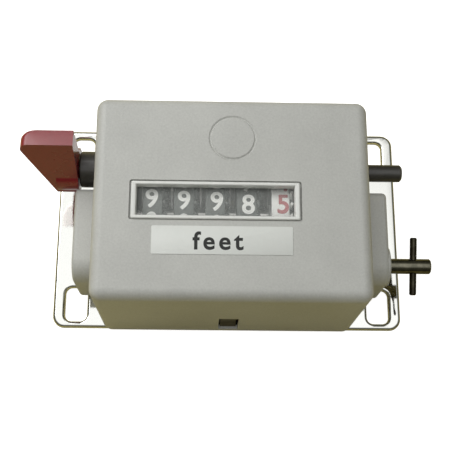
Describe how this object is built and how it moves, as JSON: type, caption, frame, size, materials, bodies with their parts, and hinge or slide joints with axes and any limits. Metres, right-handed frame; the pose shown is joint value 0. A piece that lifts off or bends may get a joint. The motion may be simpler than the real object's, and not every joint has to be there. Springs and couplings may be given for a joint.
{
  "type": "measuring wheel distance counter",
  "caption": "Mechanical distance counter of a measuring wheel: grey hood with a figure window, cross-pin drive shaft, red reset lever and slotted base plate.",
  "frame": {"origin": "centre of the base plate's underside", "axes": "+Z the way the figures face, +X towards the drive shaft, -Y towards the reader"},
  "size_m": [0.1064, 0.0581, 0.0399],
  "materials": {
    "zinc_plate": "bright zinc plate",
    "grey_enamel": "fine-grained satin enamel",
    "bright_steel": "turned",
    "drive_steel": "turned, yellow passivated",
    "bronze": "sintered",
    "black_oxide": "black oxide",
    "red_plastic": "moulded gloss",
    "nylon": "moulded",
    "bezel_white": "moulded satin",
    "clear_pane": "clear",
    "label_film": "printed film",
    "figure_black": "moulded, white figures",
    "figure_white": "moulded, red figures"
  },
  "bodies": {
    "frame": {"base_plate": "zinc_plate", "hood": "grey_enamel", "window_bezel": "bezel_white", "window_pane": "clear_pane", "unit_label": "label_film", "end_frame_left": "grey_enamel", "end_frame_right": "grey_enamel", "frame_screw_left_near": "bright_steel", "frame_screw_left_far": "bright_steel", "frame_screw_right_near": "bright_steel", "frame_screw_right_far": "bright_steel", "tie_rod_lower": "bright_steel", "tie_rod_upper": "bright_steel", "drive_bush_left": "bronze", "drive_bush_right": "bronze", "wheel_spindle": "bright_steel", "pinion_shaft": "bright_steel", "wheel_spacer_left": "bright_steel", "wheel_spacer_right": "bright_steel", "pinion_spacer_left": "bright_steel", "pinion_spacer_right": "bright_steel", "reset_spring": "bright_steel"},
    "drive": {"drive_shaft": "drive_steel", "drive_cross_pin": "drive_steel", "drive_gear": "nylon", "drive_collar": "bright_steel"},
    "reset": {"reset_shaft": "black_oxide", "reset_hub": "black_oxide", "reset_lever": "red_plastic", "reset_fingers": "bright_steel", "reset_retaining_ring": "bright_steel"},
    "wheel_units": {"figure_wheel_units": "figure_white"},
    "wheel_tens": {"figure_wheel_tens": "figure_black"},
    "wheel_hundreds": {"figure_wheel_hundreds": "figure_black"},
    "wheel_thousands": {"figure_wheel_thousands": "figure_black"},
    "wheel_ten_thousands": {"figure_wheel_ten_thousands": "figure_black"},
    "pinion_units_tens": {"transfer_pinion_units_tens": "nylon"},
    "pinion_tens_hundreds": {"transfer_pinion_tens_hundreds": "nylon"},
    "pinion_hundreds_thousands": {"transfer_pinion_hundreds_thousands": "nylon"},
    "pinion_thousands_ten_thousands": {"transfer_pinion_thousands_ten_thousands": "nylon"}
  },
  "joints": [
    {"name": "drive_spin", "type": "hinge", "parent": "frame", "child": "drive", "pos_m": [0, -0.01455, 0.016], "axis": [1, 0, 0], "continuous": true},
    {"name": "wheel_units_spin", "type": "hinge", "parent": "frame", "child": "wheel_units", "pos_m": [0, -0.0046, 0.02722], "axis": [1, 0, 0], "continuous": true},
    {"name": "wheel_tens_spin", "type": "hinge", "parent": "frame", "child": "wheel_tens", "pos_m": [0, -0.0046, 0.02722], "axis": [1, 0, 0], "continuous": true},
    {"name": "wheel_hundreds_spin", "type": "hinge", "parent": "frame", "child": "wheel_hundreds", "pos_m": [0, -0.0046, 0.02722], "axis": [1, 0, 0], "continuous": true},
    {"name": "wheel_thousands_spin", "type": "hinge", "parent": "frame", "child": "wheel_thousands", "pos_m": [0, -0.0046, 0.02722], "axis": [1, 0, 0], "continuous": true},
    {"name": "wheel_ten_thousands_spin", "type": "hinge", "parent": "frame", "child": "wheel_ten_thousands", "pos_m": [0, -0.0046, 0.02722], "axis": [1, 0, 0], "continuous": true},
    {"name": "pinion_units_tens_spin", "type": "hinge", "parent": "frame", "child": "pinion_units_tens", "pos_m": [0, -0.0165, 0.02722], "axis": [1, 0, 0], "continuous": true},
    {"name": "pinion_tens_hundreds_spin", "type": "hinge", "parent": "frame", "child": "pinion_tens_hundreds", "pos_m": [0, -0.0165, 0.02722], "axis": [1, 0, 0], "continuous": true},
    {"name": "pinion_hundreds_thousands_spin", "type": "hinge", "parent": "frame", "child": "pinion_hundreds_thousands", "pos_m": [0, -0.0165, 0.02722], "axis": [1, 0, 0], "continuous": true},
    {"name": "pinion_thousands_ten_thousands_spin", "type": "hinge", "parent": "frame", "child": "pinion_thousands_ten_thousands", "pos_m": [0, -0.0165, 0.02722], "axis": [1, 0, 0], "continuous": true},
    {"name": "reset_lever_turn", "type": "hinge", "parent": "frame", "child": "reset", "pos_m": [0, 0.0104, 0.019], "axis": [-1, 0, 0], "range_deg": [0, 50], "stiffness_Nm_per_rad": 0.02, "springref_deg": -28.65}
  ],
  "couplings": [
    {"joint": "wheel_units_spin", "follows": "drive_spin", "ratio": -1},
    {"joint": "wheel_tens_spin", "follows": "drive_spin", "ratio": -0.1},
    {"joint": "wheel_hundreds_spin", "follows": "drive_spin", "ratio": -0.01},
    {"joint": "wheel_thousands_spin", "follows": "drive_spin", "ratio": -0.001},
    {"joint": "wheel_ten_thousands_spin", "follows": "drive_spin", "ratio": -0.0001},
    {"joint": "pinion_units_tens_spin", "follows": "drive_spin", "ratio": 0.25},
    {"joint": "pinion_tens_hundreds_spin", "follows": "drive_spin", "ratio": 0.025},
    {"joint": "pinion_hundreds_thousands_spin", "follows": "drive_spin", "ratio": 0.0025},
    {"joint": "pinion_thousands_ten_thousands_spin", "follows": "drive_spin", "ratio": 0.00025}
  ]
}
